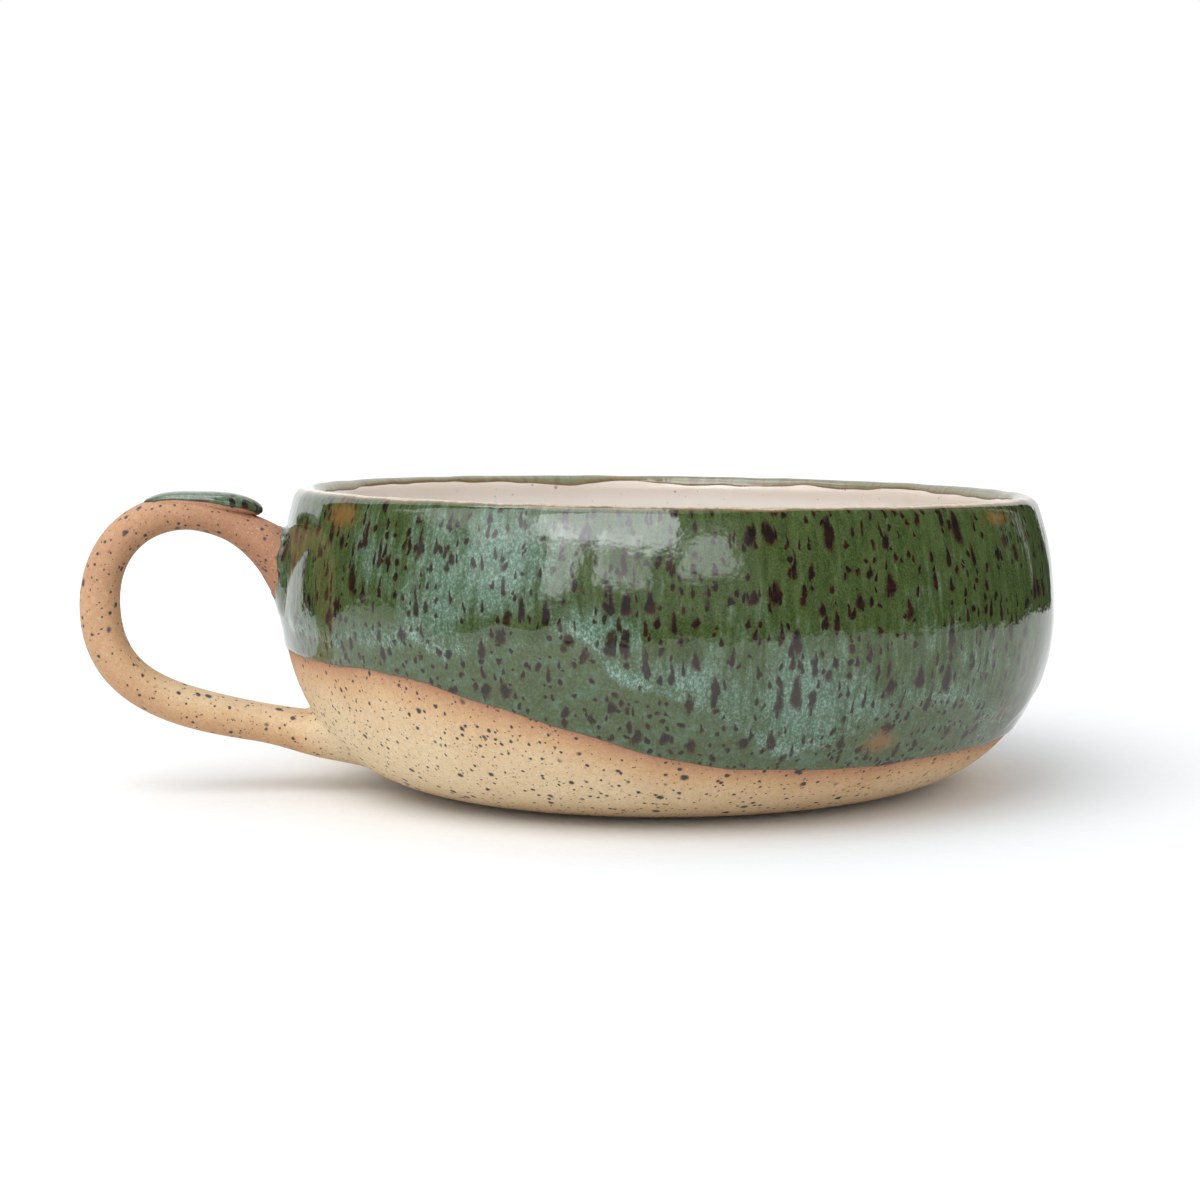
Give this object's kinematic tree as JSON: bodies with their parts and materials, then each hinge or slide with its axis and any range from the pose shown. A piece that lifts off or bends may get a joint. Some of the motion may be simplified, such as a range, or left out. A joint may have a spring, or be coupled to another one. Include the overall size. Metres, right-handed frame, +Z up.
{
  "type": "soup mug",
  "caption": "Wide low thrown soup mug: round-bellied bowl with a pulled loop handle and thumb rest, mottled green glaze over bare speckled clay and a pale liner inside.",
  "frame": {"origin": "on the bowl's axis, on the plane that the mug stands on", "axes": "+Z up along the bowl's axis, -X towards the handle, +Y to the side"},
  "size_m": [0.1773, 0.142, 0.0535],
  "materials": {
    "stoneware_clay": "bare fired buff stoneware with dark iron specks",
    "joint_slip": "bare fired slip, smoothed by hand",
    "green_glaze": "glossy mottled green with pale runs and dark specks",
    "pale_glaze": "glossy pale cream"
  },
  "bodies": {
    "root": {"bowl": "stoneware_clay", "handle": "stoneware_clay", "thumb_rest": "stoneware_clay", "upper_joint_slip": "joint_slip", "lower_joint_slip": "joint_slip", "thumb_rest_slip": "joint_slip", "outer_glaze": "green_glaze", "inner_glaze": "pale_glaze", "thumb_rest_glaze": "green_glaze"}
  },
  "joints": []
}
